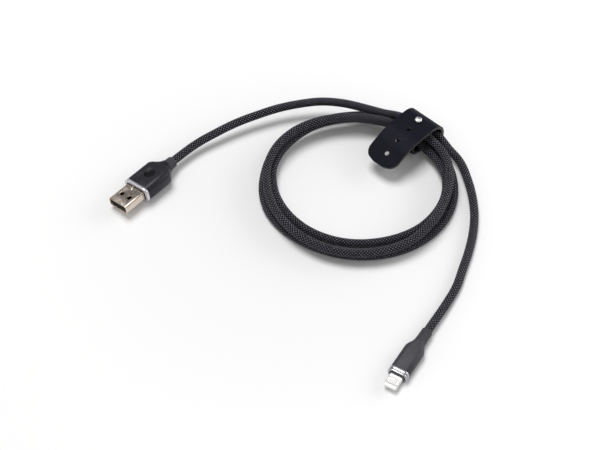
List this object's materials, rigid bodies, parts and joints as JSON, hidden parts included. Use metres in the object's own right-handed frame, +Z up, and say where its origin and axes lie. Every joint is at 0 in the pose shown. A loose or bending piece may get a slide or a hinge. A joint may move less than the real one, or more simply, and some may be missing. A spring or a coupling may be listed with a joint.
{
  "type": "charging cable",
  "caption": "Braided charging cable with a USB-A plug and a thin reversible phone plug, wound in a round coil and held by a buttoned leather strap.",
  "frame": {"origin": "on the table, under the middle of the plugs and the strap taken together", "axes": "+Z up from the table; +X to the right and +Y to the back as the cable is seen with the USB plug on the left and the phone plug in front"},
  "size_m": [0.1808, 0.1719, 0.0172],
  "materials": {
    "shell_steel": "nickel-plated steel",
    "plug_black": "moulded plastic",
    "contact_gold": "gold-plated",
    "inner_mould": "overmould",
    "wire_red": "wire insulation",
    "wire_white": "wire insulation",
    "wire_green": "wire insulation",
    "wire_black": "wire insulation",
    "ring_silver": "satin",
    "usb_body_charcoal": "soft matt",
    "neck_charcoal": "soft matt",
    "tab_silver": "satin",
    "tab_white": "smooth",
    "board_green": "solder mask",
    "chip_black": "moulded",
    "can_steel": "tinned",
    "phone_body_grey": "soft matt",
    "phone_neck_grey": "soft matt",
    "braid_charcoal": "woven braid",
    "leather_black": "smooth",
    "stud_silver": "polished"
  },
  "bodies": {
    "cable": {"usb_shell": "shell_steel", "usb_contact_block": "plug_black", "usb_contact_1": "contact_gold", "usb_contact_2": "contact_gold", "usb_contact_3": "contact_gold", "usb_contact_4": "contact_gold", "usb_inner_mould": "inner_mould", "usb_wire_1": "wire_red", "usb_wire_2": "wire_white", "usb_wire_3": "wire_green", "usb_wire_4": "wire_black", "usb_ring": "ring_silver", "usb_housing": "usb_body_charcoal", "usb_strain_relief": "neck_charcoal", "phone_tab": "tab_silver", "phone_tab_insulator": "tab_white", "phone_contact_top_1": "contact_gold", "phone_contact_top_2": "contact_gold", "phone_contact_top_3": "contact_gold", "phone_contact_top_4": "contact_gold", "phone_contact_top_5": "contact_gold", "phone_contact_top_6": "contact_gold", "phone_contact_top_7": "contact_gold", "phone_contact_top_8": "contact_gold", "phone_contact_bottom_1": "contact_gold", "phone_contact_bottom_2": "contact_gold", "phone_contact_bottom_3": "contact_gold", "phone_contact_bottom_4": "contact_gold", "phone_contact_bottom_5": "contact_gold", "phone_contact_bottom_6": "contact_gold", "phone_contact_bottom_7": "contact_gold", "phone_contact_bottom_8": "contact_gold", "phone_tab_base": "plug_black", "phone_board": "board_green", "phone_chip": "chip_black", "phone_can": "can_steel", "phone_inner_mould": "inner_mould", "phone_wire_1": "wire_red", "phone_wire_2": "wire_white", "phone_wire_3": "wire_green", "phone_wire_4": "wire_black", "phone_ring": "ring_silver", "phone_housing": "phone_body_grey", "phone_strain_relief": "phone_neck_grey", "usb_tail": "braid_charcoal", "coil": "braid_charcoal", "phone_tail": "braid_charcoal", "strap_band": "leather_black", "stud_head": "stud_silver", "stud_base": "stud_silver"},
    "tongue": {"strap_tongue": "leather_black"}
  },
  "joints": [
    {"name": "strap_fold", "type": "hinge", "parent": "cable", "child": "tongue", "pos_m": [0.07367, 0.07282, 0.01395], "axis": [-0.7337, 0.6794, 0], "range_deg": [0, 150]}
  ]
}
